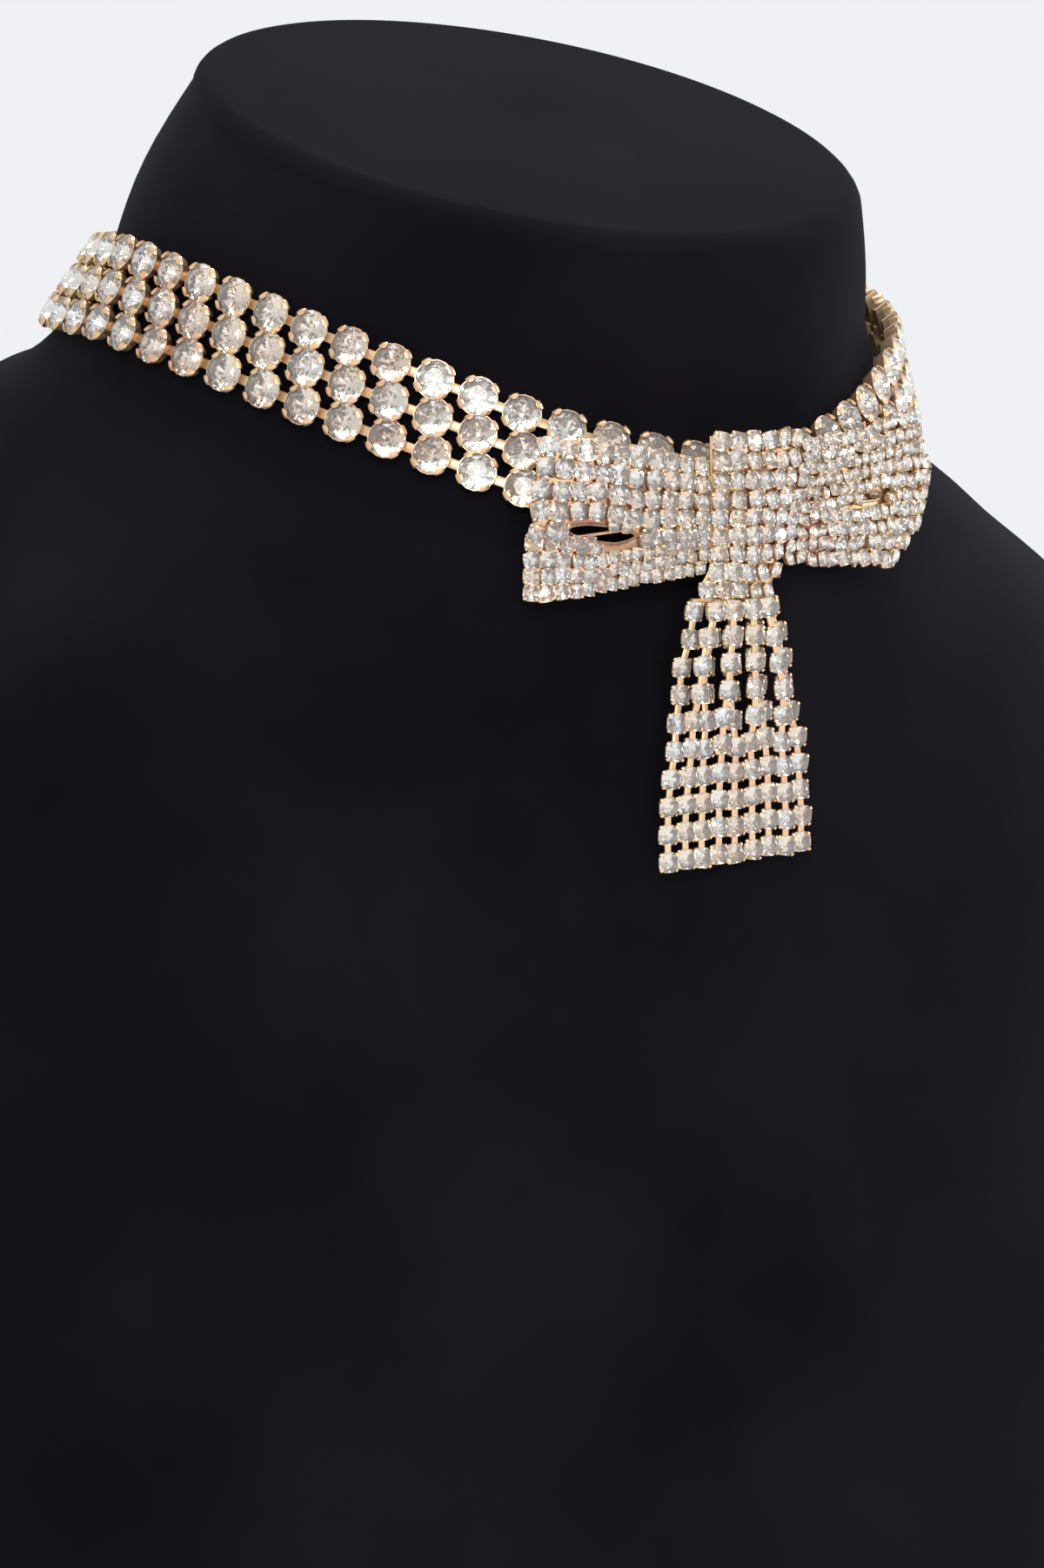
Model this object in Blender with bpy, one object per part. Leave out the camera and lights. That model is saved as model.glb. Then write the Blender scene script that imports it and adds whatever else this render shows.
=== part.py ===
# Choker necklace with a bow and a stone fringe, on a plain neck bust.
# Blender 4.5, metres, +Z up. The bust looks along -Y and stands on z = 0 around the origin.
# The functions measure from the neck's own axis, and the empty moves all pieces together.

import math

import bmesh
import bpy
from mathutils import Vector

MM = 0.001

# Clearance between pieces that touch on the real object
GAP = 0.3 * MM

# The choker's loop, measured at the rims of the top row's cups
LOOP_RADIUS = 56.0 * MM
LOOP_SET_BACK = 10.5 * MM
FRONT_HEIGHT = 200.5 * MM
LOOP_RISE = 26.5 * MM

# A row for each turn from the front in degrees: how far the loop reaches at the left and the
# right as shares of LOOP_RADIUS, how high it lies over the front at the left and the right as
# shares of LOOP_RISE, and how far the band flares in degrees. The band hangs a little askew:
# it lies on the neck at the left, and stands off it and lies lower at the right.
LOOP_COLUMNS = ("turn", "left_reach", "right_reach", "left_rise", "right_rise", "flare")
LOOP_TABLE = (
    (0, 1.018, 1.018, 0.000, 0.000, 31),
    (24, 0.989, 0.992, 0.162, 0.162, 24),
    (44, 0.963, 0.988, 0.419, 0.400, 15),
    (66, 0.966, 1.006, 0.694, 0.570, 11),
    (79, 0.982, 1.012, 0.845, 0.660, 13),
    (90, 0.995, 1.013, 0.936, 0.730, 17),
    (101, 1.005, 1.013, 1.000, 0.790, 22),
    (122, 1.016, 1.016, 0.980, 0.860, 33),
    (150, 1.005, 1.005, 0.943, 0.910, 36),
    (180, 0.989, 0.989, 0.925, 0.925, 36),
)

# Stones of the band: a cup of eight sides with the cut stone fused into it
ROWS = 3
ROW_PITCH = 5.05 * MM
STONE_PITCH = 6.2 * MM
STRING_SHIFT = 1.5 * MM
CUP_RADIUS = 2.65 * MM
CUP_BASE_RADIUS = 1.8 * MM
CUP_DEPTH = 1.9 * MM
CUP_RIM_DROP = 0.4 * MM
TABLE_RADIUS = 1.5 * MM
TABLE_RISE = 0.7 * MM

# End bars and the clasp behind the neck
CLASP_ROOM = 20.0 * MM
BAR_WIDTH = 2.0 * MM
BAR_OFFSET = 4.3 * MM
CLASP_HEIGHT = 11.0 * MM
CLASP_THICKNESS = 2.6 * MM

# The bow lies on its own gently curved sheet in front of the band
BOW_RADIUS = 78.0 * MM
BOW_FRONT = 54.5 * MM
BOW_TOP_OVER_FRONT = 4.5 * MM
BOW_SLOPE = 6.0
BOW_SHIFT = -3.9 * MM
BOW_REACH = 34.0 * MM
BOW_HEIGHT = 21.0 * MM
PLATE = 1.6 * MM
KNOT_PROUD = 0.9 * MM

# Outer edge of each loop: drop from the bow's top as a share of BOW_HEIGHT, and reach from the
# bow's middle as a share of BOW_REACH
EDGE_COLUMNS = ("drop", "reach")
LEFT_EDGE = ((0.0, 0.91), (0.36, 0.955), (0.57, 0.975), (1.0, 1.0))
RIGHT_EDGE = ((-0.07, 0.88), (0.1, 0.925), (0.23, 0.97), (0.44, 0.955), (0.66, 0.88), (0.9, 0.68))

# Sections of each loop from the knot outwards: share of the way to the outer edge, then the
# top edge, the slit and the bottom edge as shares of BOW_HEIGHT
SECTION_COLUMNS = ("out", "top", "slit_top", "slit_bottom", "bottom")
LEFT_SECTIONS = (
    (0.0, 0.17, 0.6, 0.65, 0.86),
    (0.2, 0.13, 0.595, 0.65, 0.885),
    (0.4, 0.09, 0.59, 0.65, 0.915),
    (0.52, 0.07, 0.56, 0.665, 0.94),
    (0.66, 0.04, 0.54, 0.645, 0.97),
    (0.79, 0.02, 0.54, 0.6, 0.982),
    (0.9, 0.006, 0.54, 0.59, 0.994),
    (1.0, 0.0, 0.54, 0.59, 1.0),
)
RIGHT_SECTIONS = (
    (0.0, 0.06, 0.46, 0.52, 0.83),
    (0.2, 0.055, 0.46, 0.52, 0.845),
    (0.45, 0.021, 0.46, 0.52, 0.867),
    (0.64, -0.016, 0.46, 0.515, 0.88),
    (0.78, -0.043, 0.46, 0.51, 0.889),
    (0.9, -0.063, 0.46, 0.51, 0.897),
    (1.0, -0.07, 0.46, 0.51, 0.9),
)

# Sections between which each slit is open, counted from the knot
LEFT_SLIT = (2, 5)
RIGHT_SLIT = (2, 3)

# Knot and tail from the top down: drop, then the left and right edges from the bow's middle
KNOT_COLUMNS = ("drop", "left", "right")
KNOT_TABLE = (
    (0.0, -0.215, 0.215),
    (0.17, -0.22, 0.195),
    (0.34, -0.225, 0.16),
    (0.56, -0.235, 0.105),
    (0.78, -0.245, 0.085),
    (0.86, -0.265, 0.07),
    (1.0, -0.325, 0.015),
)
KNOT_ACROSS = 7
KNOT_CARRIER = (3, 4)
TAIL_SLANT = 0.9 * MM

# The fringe: strands in two layers where they crowd, spreading into one at the bottom
STRANDS = 9
FRINGE_ROWS = 10
FRINGE_ROW_PITCH = 3.6 * MM
FRINGE_TOP_PITCH = 1.5 * MM
FRINGE_LOW_PITCH = 2.75 * MM
FRINGE_LAYER = 1.0 * MM
FRINGE_PARTED_ROW = 5
FRINGE_START = 1.9 * MM
FRINGE_CUP_RADIUS = 1.2 * MM
FRINGE_BASE_RADIUS = 0.85 * MM
FRINGE_DEPTH = 1.0 * MM
FRINGE_RIM_DROP = 0.25 * MM
FRINGE_TABLE_RADIUS = 0.72 * MM
FRINGE_TABLE_RISE = 0.45 * MM
FRINGE_SHIFT = -0.3 * MM
HEAD_BAR = 0.7 * MM

# The bust
BUST_SIDES = 48
NECK_TOP_RADIUS = 46.2 * MM
NECK_TOP_BACK = 3.7 * MM
NECK_TOP_RISE = 43.4 * MM
NECK_TOP_SLOPE = 0.31
NECK_RIM_ROUND = 3.0 * MM
NECK_SWELL = 1.8 * MM
BAND_MARGIN = 1.0 * MM
BUST_WIDTH = 224.0 * MM
BUST_FRONT = 66.0 * MM
BUST_BACK = 92.0 * MM
BASE_ROUND = 3.0 * MM

# Rings of the bust under the band: height of the front and of the back as shares of
# FRONT_HEIGHT, half width as a share of half BUST_WIDTH, then front and back reach as shares
RING_COLUMNS = ("front_height", "back_height", "half_width", "front", "back")
RING_TABLE = (
    (0.893, 1.043, 0.68, 0.79, 0.957),
    (0.783, 0.903, 0.94, 0.80, 1.0),
    (0.574, 0.62, 1.0, 0.92, 1.0),
    (0.324, 0.324, 0.965, 1.0, 0.957),
    (0.065, 0.065, 0.86, 0.93, 0.88),
)
RING_STEPS = 3


def read_table(table, columns, name, place):
    """Value of a named column at a place in the first column, along a smooth curve."""
    column = columns.index(name)
    rows = [(row[0], row[column]) for row in table]
    if place <= rows[0][0]:
        return rows[0][1]
    if place >= rows[-1][0]:
        return rows[-1][1]
    index = max(i for i, row in enumerate(rows) if row[0] <= place)

    def slope(i):
        if i == 0 or i == len(rows) - 1:
            return 0.0
        return (rows[i + 1][1] - rows[i - 1][1]) / (rows[i + 1][0] - rows[i - 1][0])

    span = rows[index + 1][0] - rows[index][0]
    share = (place - rows[index][0]) / span
    start, end = rows[index][1], rows[index + 1][1]
    leave, arrive = slope(index) * span, slope(index + 1) * span
    return (
        (2 * share**3 - 3 * share**2 + 1) * start
        + (share**3 - 2 * share**2 + share) * leave
        + (3 * share**2 - 2 * share**3) * end
        + (share**3 - share**2) * arrive
    )


def mix_table(table, columns, name, place):
    """Value of a named column at a place in the first column, along straight lines."""
    column = columns.index(name)
    for low, high in zip(table, table[1:]):
        if place <= high[0] or high is table[-1]:
            share = (place - low[0]) / (high[0] - low[0])
            return low[column] + (high[column] - low[column]) * min(max(share, 0.0), 1.0)


def loop_surface(turn, across, snug=False):
    """Point of the band's surface: turn from the front in radians, across from the top row.

    The snug surface stands off the neck on neither side."""
    degrees = abs(math.degrees(turn))
    side = "left" if turn < 0 else "right"
    flare = math.radians(read_table(LOOP_TABLE, LOOP_COLUMNS, "flare", degrees))
    reach_side = "left" if snug else side
    radius = LOOP_RADIUS * read_table(LOOP_TABLE, LOOP_COLUMNS, reach_side + "_reach", degrees)
    radius += across * math.sin(flare)
    height = FRONT_HEIGHT + LOOP_RISE * read_table(LOOP_TABLE, LOOP_COLUMNS, side + "_rise", degrees)
    height -= across * math.cos(flare)
    return Vector((radius * math.sin(turn), LOOP_SET_BACK - radius * math.cos(turn), height))


def loop_frame(turn, across, snug=False):
    """Place on the band with its directions along the row, across it and outwards."""
    step = 0.001
    place = loop_surface(turn, across, snug)
    before = loop_surface(turn - step, across, snug)
    after = loop_surface(turn + step, across, snug)
    along = (after - before).normalized()
    down = (loop_surface(turn, across + MM, snug) - place).normalized()
    out = down.cross(along).normalized()
    return place, along, along.cross(out), out


def loop_point(turn, across, outward, snug=False):
    place, _, _, out = loop_frame(turn, across, snug)
    return place + out * outward


def turns_by_length():
    """Turns and lengths along the top row, from the back round to the back."""
    count = 1440
    turns = [math.pi * (2 * i / count - 1) for i in range(count + 1)]
    lengths = [0.0]
    for before, after in zip(turns, turns[1:]):
        lengths.append(lengths[-1] + (loop_surface(after, 0) - loop_surface(before, 0)).length)
    return turns, lengths


TURNS, LENGTHS = turns_by_length()
LOOP_LENGTH = LENGTHS[-1]
COLUMNS = int((LOOP_LENGTH - CLASP_ROOM) / STONE_PITCH)


def turn_at(length):
    """Turn of the loop at a length along the top row from the front."""
    target = (length + LOOP_LENGTH / 2) % LOOP_LENGTH
    low, high = 0, len(LENGTHS) - 1
    while high - low > 1:
        middle = (low + high) // 2
        if LENGTHS[middle] <= target:
            low = middle
        else:
            high = middle
    share = (target - LENGTHS[low]) / (LENGTHS[high] - LENGTHS[low])
    return TURNS[low] + share * (TURNS[high] - TURNS[low])


def column_length(column):
    return STRING_SHIFT + (column - (COLUMNS - 1) / 2) * STONE_PITCH


def material(name, colour, roughness, metallic=0.0):
    made = bpy.data.materials.new(name)
    made.use_nodes = True
    shader = made.node_tree.nodes["Principled BSDF"]
    shader.inputs["Base Color"].default_value = (*colour, 1.0)
    shader.inputs["Roughness"].default_value = roughness
    shader.inputs["Metallic"].default_value = metallic
    return made


def finish_mesh(bm, name, made):
    """Turn the faces outwards and make the named object."""
    bmesh.ops.recalc_face_normals(bm, faces=bm.faces)
    mesh = bpy.data.meshes.new(name)
    bm.to_mesh(mesh)
    bm.free()
    mesh.materials.append(made)
    piece = bpy.data.objects.new(name, mesh)
    bpy.context.scene.collection.objects.link(piece)
    return piece


def add_prism(bm, frame, rings, open_sides):
    """Prism of stacked rings with corners given as (along, down) and an outward place.

    The sides in open_sides have no face between the first two rings, for a link to join."""
    place, along, down, out = frame
    corners = []
    for outline, outward in rings:
        level = place + out * outward
        corners.append([bm.verts.new(level + along * a + down * d) for a, d in outline])
    sides = len(corners[0])
    bm.faces.new(corners[0])
    bm.faces.new(corners[-1])
    for level, (lower, upper) in enumerate(zip(corners, corners[1:])):
        for side in range(sides):
            if level == 0 and side in open_sides:
                continue
            bm.faces.new((lower[side - 1], lower[side], upper[side], upper[side - 1]))
    return corners


def polygon(radius, sides=8):
    """Corners of a regular outline whose first side faces along."""
    half = math.pi / sides
    turns = [half + 2 * half * corner for corner in range(sides)]
    return [(radius * math.cos(turn), radius * math.sin(turn)) for turn in turns]


def box_outline(half_along, half_down):
    return [
        (half_along, half_down),
        (-half_along, half_down),
        (-half_along, -half_down),
        (half_along, -half_down),
    ]


def bridge(bm, first, first_side, second, second_side):
    """Link between an open side of one prism and the facing open side of another."""
    low, high = first[0], first[1]
    other_low, other_high = second[0], second[1]
    a, b = first_side, first_side - 1
    c, d = second_side - 1, second_side
    bm.faces.new((low[b], low[a], other_low[c], other_low[d]))
    bm.faces.new((high[b], high[a], other_high[c], other_high[d]))
    bm.faces.new((low[a], high[a], other_high[c], other_low[c]))
    bm.faces.new((low[b], high[b], other_high[d], other_low[d]))


def cup_rings(base_radius, radius, table_radius, depth, rim_drop, rise):
    return (
        (polygon(base_radius), -depth),
        (polygon(radius), -rim_drop),
        (polygon(table_radius), rise),
    )


def make_band(made):
    """Rows of cups, linked along each row, soldered across, with a bar at each end."""
    bm = bmesh.new()
    rings = cup_rings(
        CUP_BASE_RADIUS, CUP_RADIUS, TABLE_RADIUS, CUP_DEPTH, CUP_RIM_DROP, TABLE_RISE
    )
    bar = box_outline(BAR_WIDTH / 2, CUP_RADIUS * 0.8)
    bar_rings = ((bar, -CUP_DEPTH), (bar, -CUP_RIM_DROP))
    lengths = [column_length(column) for column in range(COLUMNS)]
    lengths = [lengths[0] - BAR_OFFSET] + lengths + [lengths[-1] + BAR_OFFSET]
    last = len(lengths) - 1
    grid = {}
    for column, length in enumerate(lengths):
        is_bar = column in (0, last)
        sides = 4 if is_bar else 8
        for row in range(ROWS):
            open_sides = set()
            if column < last:
                open_sides.add(0)
            if column > 0:
                open_sides.add(sides // 2)
            if row < ROWS - 1:
                open_sides.add(sides // 4)
            if row > 0:
                open_sides.add(3 * sides // 4)
            frame = loop_frame(turn_at(length), row * ROW_PITCH)
            shape = bar_rings if is_bar else rings
            grid[column, row] = (sides, add_prism(bm, frame, shape, open_sides))
    for (column, row), (sides, corners) in grid.items():
        if column < last:
            other_sides, other = grid[column + 1, row]
            bridge(bm, corners, 0, other, other_sides // 2)
        if row < ROWS - 1:
            bridge(bm, corners, sides // 4, grid[column, row + 1][1], 3 * sides // 4)
    return finish_mesh(bm, "choker_band", made)


def sheet_solid(name, made, columns, rows, is_filled, front, back):
    """Closed plate over the filled cells of a grid, with a front and a back surface."""
    bm = bmesh.new()
    cells = [(i, j) for i in range(columns) for j in range(rows) if is_filled(i, j)]
    sheets = []
    for place in (front, back):
        verts = {}
        for i, j in cells:
            for corner in ((i, j), (i + 1, j), (i + 1, j + 1), (i, j + 1)):
                if corner not in verts:
                    verts[corner] = bm.verts.new(place(*corner))
            bm.faces.new((verts[i, j], verts[i + 1, j], verts[i + 1, j + 1], verts[i, j + 1]))
        sheets.append(verts)
    edges = {}
    for i, j in cells:
        loop = ((i, j), (i + 1, j), (i + 1, j + 1), (i, j + 1))
        for start, end in zip(loop, loop[1:] + loop[:1]):
            edges.setdefault(frozenset((start, end)), []).append((start, end))
    for uses in edges.values():
        if len(uses) == 1:
            start, end = uses[0]
            bm.faces.new((sheets[0][start], sheets[0][end], sheets[1][end], sheets[1][start]))
    return finish_mesh(bm, name, made)


def make_clasp(made):
    """Plain curved plate that closes the loop between the end bars."""
    start = column_length(COLUMNS - 1) + BAR_OFFSET + BAR_WIDTH / 2 + GAP
    end = column_length(0) - BAR_OFFSET - BAR_WIDTH / 2 - GAP + LOOP_LENGTH
    columns, rows = 6, 1
    middle = (ROWS - 1) * ROW_PITCH / 2

    def place(outward):
        def point(i, j):
            across = middle + (j - 0.5) * CLASP_HEIGHT
            return loop_point(turn_at(start + (end - start) * i / columns), across, outward)

        return point

    front = place(CLASP_THICKNESS - CUP_DEPTH)
    back = place(-CUP_DEPTH)
    return sheet_solid("choker_clasp", made, columns, rows, lambda i, j: True, front, back)


def bow_point(reach, drop, outward=0.0):
    """Point of the bow's sheet: reach from its middle, drop from its top edge."""
    turn = (reach + BOW_SHIFT) / BOW_RADIUS
    radius = BOW_RADIUS + drop * math.tan(math.radians(BOW_SLOPE)) + outward
    height = FRONT_HEIGHT + BOW_TOP_OVER_FRONT - drop
    centre = BOW_RADIUS - BOW_FRONT
    return Vector((radius * math.sin(turn), centre - radius * math.cos(turn), height))


def knot_edge(side, drop):
    return BOW_REACH * mix_table(KNOT_TABLE, KNOT_COLUMNS, side, drop / BOW_HEIGHT)


def make_loop(name, made, side, edge, sections, slit):
    """One loop of the bow: two arms that part at a slit and meet at both ends."""
    direction = -1 if side == "left" else 1

    def grid_place(i, j):
        section = dict(zip(SECTION_COLUMNS, sections[i]))
        levels = (
            section["top"],
            (section["top"] * 2 + section["slit_top"]) / 3,
            (section["top"] + section["slit_top"] * 2) / 3,
            section["slit_top"],
            section["slit_bottom"],
            (section["slit_bottom"] + section["bottom"]) / 2,
            section["bottom"],
        )
        drop = BOW_HEIGHT * levels[j]
        inner = knot_edge(side, drop) + direction * GAP
        outer = direction * BOW_REACH * mix_table(edge, EDGE_COLUMNS, "reach", levels[j])
        return inner + (outer - inner) * section["out"], drop

    def front(i, j):
        return bow_point(*grid_place(i, j))

    def back(i, j):
        return bow_point(*grid_place(i, j), -PLATE)

    def is_filled(i, j):
        return j != 3 or not slit[0] <= i < slit[1]

    return sheet_solid(name, made, len(sections) - 1, 6, is_filled, front, back)


def band_front_behind(point):
    """Place straight behind a point, just in front of the tables of the band's stones."""
    turn = math.atan2(point.x, LOOP_SET_BACK - point.y)
    outward = TABLE_RISE + GAP
    across = 0.0
    for _ in range(12):
        place = loop_point(turn, across, outward)
        across += place.z - point.z
        turn += (point.x - place.x) / LOOP_RADIUS
    return Vector((point.x, loop_point(turn, across, outward).y, point.z))


def make_knot(made):
    """Knot and tail: domed in front, and filled behind up to the band that carries it."""
    rows = 10

    def place(i, j):
        drop = BOW_HEIGHT * j / rows
        left, right = knot_edge("left", drop), knot_edge("right", drop)
        share = i / KNOT_ACROSS
        slant = TAIL_SLANT * share * max(0.0, (j / rows - 0.8) / 0.2)
        return left + (right - left) * share, drop + slant

    def front(i, j):
        reach, drop = place(i, j)
        dome = 1.0 - (2.0 * i / KNOT_ACROSS - 1.0) ** 2
        return bow_point(reach, drop, KNOT_PROUD * dome)

    def back(i, j):
        reach, drop = place(i, j)
        plate = bow_point(reach, drop, -PLATE)
        carried = band_front_behind(plate)
        if i in KNOT_CARRIER and drop < ROWS * ROW_PITCH and carried.y > plate.y:
            return carried
        return plate

    return sheet_solid("bow_knot", made, KNOT_ACROSS, rows, lambda i, j: True, front, back)


def strand_frame(strand, row):
    """Frame of a fringe stone, or of the head bar at row -1."""
    share = max(row, 0) / (FRINGE_ROWS - 1)
    pitch = FRINGE_TOP_PITCH + (FRINGE_LOW_PITCH - FRINGE_TOP_PITCH) * (1 - (1 - share) ** 2)
    middle = (knot_edge("left", BOW_HEIGHT) + knot_edge("right", BOW_HEIGHT)) / 2
    spread = (strand - (STRANDS - 1) / 2) * pitch + FRINGE_SHIFT * share
    layer = FRINGE_LAYER * min(1.0, max(0.1, (FRINGE_PARTED_ROW - row) / 2))
    layer *= 1 if strand % 2 else -1
    head = bow_point(middle, BOW_HEIGHT)
    drop = FRINGE_START + max(row, 0) * FRINGE_ROW_PITCH
    if row < 0:
        slant = TAIL_SLANT * (strand / (STRANDS - 1))
        drop = GAP + HEAD_BAR + slant
        layer = 0.0
    place = Vector((head.x + spread, head.y - layer - FRINGE_LAYER / 2, head.z - drop))
    return place, Vector((1, 0, 0)), Vector((0, 0, -1)), Vector((0, -1, 0))


def make_fringe(made):
    """Strands of small cups on links, fused to the bar under the tail's edge."""
    bm = bmesh.new()
    rings = cup_rings(
        FRINGE_BASE_RADIUS,
        FRINGE_CUP_RADIUS,
        FRINGE_TABLE_RADIUS,
        FRINGE_DEPTH,
        FRINGE_RIM_DROP,
        FRINGE_TABLE_RISE,
    )
    head = box_outline(FRINGE_TOP_PITCH * 0.42, HEAD_BAR / 2)
    head_rings = ((head, -FRINGE_DEPTH), (head, -FRINGE_RIM_DROP))
    heads = []
    for strand in range(STRANDS):
        open_sides = {1}
        if strand < STRANDS - 1:
            open_sides.add(0)
        if strand > 0:
            open_sides.add(2)
        above = add_prism(bm, strand_frame(strand, -1), head_rings, open_sides)
        if heads:
            bridge(bm, heads[-1], 0, above, 2)
        heads.append(above)
        side = 1
        for row in range(FRINGE_ROWS):
            open_sides = {6} if row == FRINGE_ROWS - 1 else {2, 6}
            cup = add_prism(bm, strand_frame(strand, row), rings, open_sides)
            bridge(bm, above, side, cup, 6)
            above, side = cup, 2
    return finish_mesh(bm, "fringe", made)


def bust_ring(turn, row):
    """Point of one of the bust's lower rings in the direction of a turn."""
    ring = dict(zip(RING_COLUMNS, row))
    share = (1 - math.cos(turn)) / 2
    slant = (ring["back_height"] - ring["front_height"]) * share
    height = FRONT_HEIGHT * (ring["front_height"] + slant)
    depth = (BUST_FRONT * ring["front"] + BUST_BACK * ring["back"]) / 2
    centre = BUST_BACK * ring["back"] - depth
    x = BUST_WIDTH / 2 * ring["half_width"] * math.sin(turn)
    return Vector((x, centre - depth * math.cos(turn), height))


def smooth_steps(points):
    """The points with RING_STEPS between each pair, along a smooth curve through them."""
    made = []
    for index in range(1, len(points) - 2):
        before, start, end, after = points[index - 1 : index + 3]
        for step in range(RING_STEPS):
            t = step / RING_STEPS
            made.append(
                0.5
                * (
                    2 * start
                    + (end - before) * t
                    + (2 * before - 5 * start + 4 * end - after) * t**2
                    + (3 * start - before - 3 * end + after) * t**3
                )
            )
    return made + [points[-2]]


def bust_profile(turn):
    """Points of the bust from its top to its base in one direction."""
    inward = -(CUP_DEPTH + GAP)
    band_low = (ROWS - 1) * ROW_PITCH + CUP_RADIUS
    rise = FRONT_HEIGHT + NECK_TOP_RISE

    def top(radius, lower):
        x = radius * math.sin(turn)
        y = NECK_TOP_BACK - radius * math.cos(turn)
        return Vector((x, y, rise + NECK_TOP_SLOPE * (y - NECK_TOP_BACK) - lower))

    rim = top(NECK_TOP_RADIUS, NECK_RIM_ROUND)
    band_top = loop_point(turn, -CUP_RADIUS - BAND_MARGIN, inward, snug=True)
    points = [top(NECK_TOP_RADIUS - NECK_RIM_ROUND, 0.0)]
    points.append(top(NECK_TOP_RADIUS - NECK_RIM_ROUND * 0.3, NECK_RIM_ROUND * 0.3))
    points.append(rim)
    for share in (0.33, 0.67):
        wall = rim.lerp(band_top, share)
        outwards = Vector((wall.x, wall.y - LOOP_SET_BACK, 0)).normalized()
        points.append(wall + outwards * NECK_SWELL * (1 - math.cos(turn)) / 2)
    points.append(band_top)
    points.append(loop_point(turn, band_low / 2, inward, snug=True))
    low = loop_point(turn, band_low + BAND_MARGIN, inward, snug=True)
    rings = [bust_ring(turn, row) for row in RING_TABLE]
    lead = low + (low - points[-1]).normalized() * (rings[0] - low).length
    points += smooth_steps([low * 2 - lead, low] + rings + [rings[-1]])
    base = points[-1]
    points.append(Vector((base.x, base.y, BASE_ROUND)))
    inset = Vector((base.x, base.y - LOOP_SET_BACK, 0)).normalized() * BASE_ROUND
    points.append(Vector((base.x - inset.x, base.y - inset.y, 0.0)))
    return points


def make_bust(made):
    bm = bmesh.new()
    rings = []
    for side in range(BUST_SIDES):
        turn = 2 * math.pi * side / BUST_SIDES - math.pi
        rings.append([bm.verts.new(point) for point in bust_profile(turn)])
    for side, profile in enumerate(rings):
        other = rings[(side + 1) % BUST_SIDES]
        for level in range(len(profile) - 1):
            bm.faces.new((profile[level], other[level], other[level + 1], profile[level + 1]))
    bm.faces.new([profile[0] for profile in rings])
    bm.faces.new([profile[-1] for profile in rings])
    return finish_mesh(bm, "neck_bust", made)


def stand_on_origin(bust, pieces):
    """Hang every piece from an empty that puts the bust's middle over the origin."""
    places = [vertex.co.y for vertex in bust.data.vertices]
    empty = bpy.data.objects.new("choker_on_bust", None)
    bpy.context.scene.collection.objects.link(empty)
    empty.location.y = -(min(places) + max(places)) / 2
    for piece in pieces:
        piece.parent = empty


def main():
    for old in list(bpy.data.objects):
        bpy.data.objects.remove(old)
    gold = material("rose_gold", (0.80, 0.58, 0.38), 0.25, 1.0)
    crystal = material("crystal_stones", (0.85, 0.82, 0.80), 0.12)
    velvet = material("black_velvet", (0.012, 0.011, 0.014), 0.9)
    bust = make_bust(velvet)
    pieces = [
        make_band(crystal),
        make_clasp(gold),
        make_loop("bow_loop_left", crystal, "left", LEFT_EDGE, LEFT_SECTIONS, LEFT_SLIT),
        make_loop("bow_loop_right", crystal, "right", RIGHT_EDGE, RIGHT_SECTIONS, RIGHT_SLIT),
        make_knot(crystal),
        make_fringe(crystal),
    ]
    stand_on_origin(bust, [bust] + pieces)


main()
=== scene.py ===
import math
import random

import bpy
import numpy as np
from mathutils import Euler, Matrix, Vector


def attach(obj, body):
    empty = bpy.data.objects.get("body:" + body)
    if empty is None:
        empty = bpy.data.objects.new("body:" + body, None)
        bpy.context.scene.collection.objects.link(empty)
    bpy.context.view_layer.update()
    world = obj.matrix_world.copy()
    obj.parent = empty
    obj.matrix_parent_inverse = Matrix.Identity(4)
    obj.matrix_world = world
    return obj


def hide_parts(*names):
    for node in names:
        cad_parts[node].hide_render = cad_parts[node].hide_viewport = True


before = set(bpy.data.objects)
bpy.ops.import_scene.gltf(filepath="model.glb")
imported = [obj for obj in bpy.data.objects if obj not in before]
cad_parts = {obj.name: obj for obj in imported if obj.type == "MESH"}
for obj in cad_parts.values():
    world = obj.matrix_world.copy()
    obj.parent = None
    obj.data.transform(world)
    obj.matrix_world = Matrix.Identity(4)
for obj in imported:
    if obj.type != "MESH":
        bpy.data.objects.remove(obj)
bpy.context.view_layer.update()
bpy.ops.object.select_all(action="DESELECT")
print("frame loaded")

mm = 0.001
randomTilt = random.Random(11)
metalAngle = 42  # degrees under which the metal's edges are shaded smooth


# Tools for modelling

def smoothValue(table, column, place):  # smooth curve through a column of a table
    rows = [(row[0], row[column]) for row in table]
    if place <= rows[0][0]:
        return rows[0][1]
    if place >= rows[-1][0]:
        return rows[-1][1]
    index = max(i for i, row in enumerate(rows) if row[0] <= place)

    def slope(i):
        if i == 0 or i == len(rows) - 1:
            return 0.0
        return (rows[i + 1][1] - rows[i - 1][1]) / (rows[i + 1][0] - rows[i - 1][0])

    span = rows[index + 1][0] - rows[index][0]
    t = (place - rows[index][0]) / span
    bow = (2 * t**3 - 3 * t**2 + 1) * rows[index][1] + (3 * t**2 - 2 * t**3) * rows[index + 1][1]
    lead = (t**3 - 2 * t**2 + t) * slope(index) + (t**3 - t**2) * slope(index + 1)
    return bow + lead * span


def straightValue(table, column, place):  # straight lines through a column of a table
    for low, high in zip(table, table[1:]):
        if place <= high[0] or high is table[-1]:
            share = min(max((place - low[0]) / (high[0] - low[0]), 0.0), 1.0)
            return low[column] + (high[column] - low[column]) * share


def setMode(mode):
    bpy.ops.object.mode_set(mode=mode)


def nameNew(name):  # names the piece that was added last
    piece = bpy.context.object
    piece.name = piece.data.name = name
    return piece


def addObject(name, data):
    piece = bpy.data.objects.new(name, data)
    bpy.context.scene.collection.objects.link(piece)
    return piece


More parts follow.
